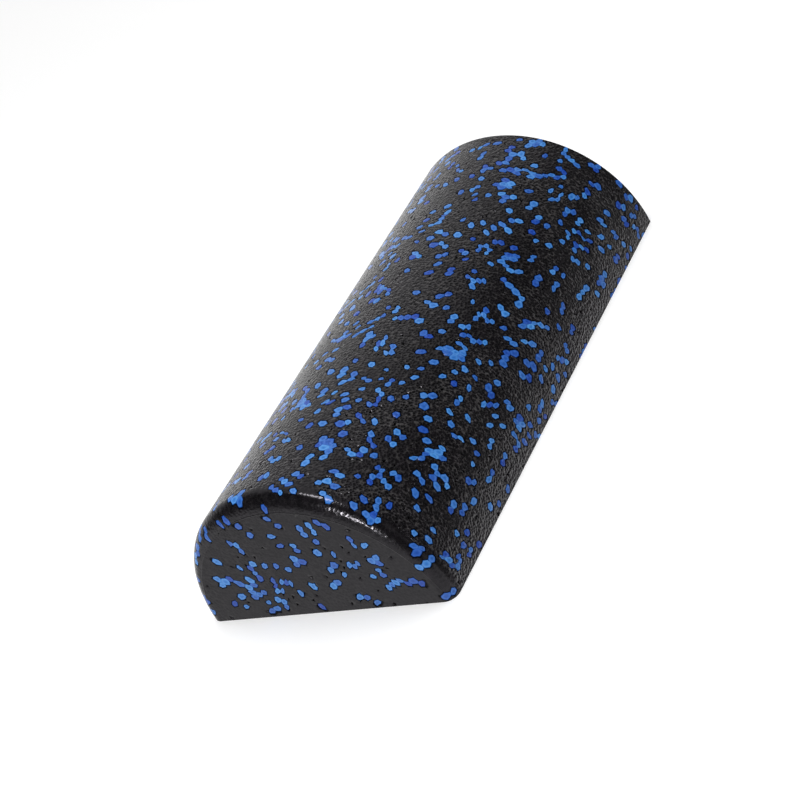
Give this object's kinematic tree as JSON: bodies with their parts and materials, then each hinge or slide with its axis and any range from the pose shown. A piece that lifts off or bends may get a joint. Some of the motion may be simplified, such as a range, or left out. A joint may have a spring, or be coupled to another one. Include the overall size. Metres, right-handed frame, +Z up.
{
  "type": "foam roller",
  "caption": "Half-round foam roller with a flat base, a rounded rim at one end and a square cut at the other, speckled with set-in beads.",
  "frame": {"origin": "centre of the flat base, on the plane that the roller rests on", "axes": "+Y along the roller's axis, from the moulded end with the rounded rim to the square-cut end; +Z up, from the flat base to the top of the crown; +X across the base"},
  "size_m": [0.1524, 0.3048, 0.0762],
  "materials": {
    "black_epp_foam": "moulded bead foam, satin skin",
    "blue_epp_foam": "moulded bead foam, satin skin"
  },
  "bodies": {
    "root": {"roller_body": "black_epp_foam", "blue_beads_crown": "blue_epp_foam", "blue_beads_rim": "blue_epp_foam", "blue_beads_near_end": "blue_epp_foam", "blue_beads_far_end": "blue_epp_foam", "blue_beads_base": "blue_epp_foam"}
  },
  "joints": []
}
